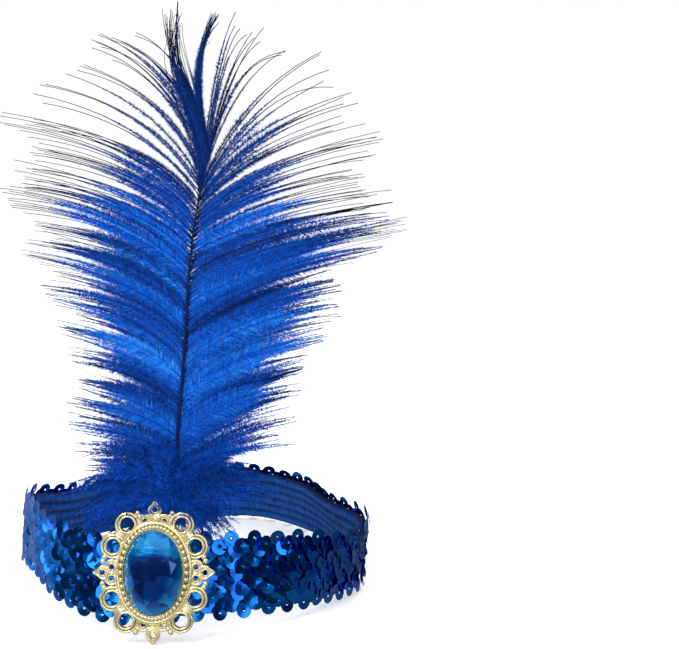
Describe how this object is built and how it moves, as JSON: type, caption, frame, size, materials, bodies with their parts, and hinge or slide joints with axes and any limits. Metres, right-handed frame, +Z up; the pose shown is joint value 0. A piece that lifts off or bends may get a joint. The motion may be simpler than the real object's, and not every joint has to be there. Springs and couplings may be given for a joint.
{
  "type": "showgirl feather headband",
  "caption": "Closed stretch headband covered in overlapping sequins, with a pierced gilt brooch, an oval faceted stone and one tall ostrich plume at its front.",
  "frame": {"origin": "on the table, under the middle of the whole headband's box", "axes": "+Z up, -Y the way the wearer faces, +X to the right seen from the front; it lies as it rests by itself, on the band's lower edge and the brooch's lowest point"},
  "size_m": [0.1574, 0.1488, 0.2261],
  "materials": {
    "elastic": "matte",
    "sequins": "gloss",
    "gilt": "polished",
    "stone": "gloss",
    "pad": "satin",
    "feather": "matte",
    "down": "matte"
  },
  "bodies": {
    "root": {"elastic_band": "elastic", "sequin_cover": "sequins", "brooch_frame": "gilt", "brooch_stone": "stone", "brooch_pad": "pad", "ostrich_plume": "feather", "down_tuft": "down"}
  },
  "joints": []
}
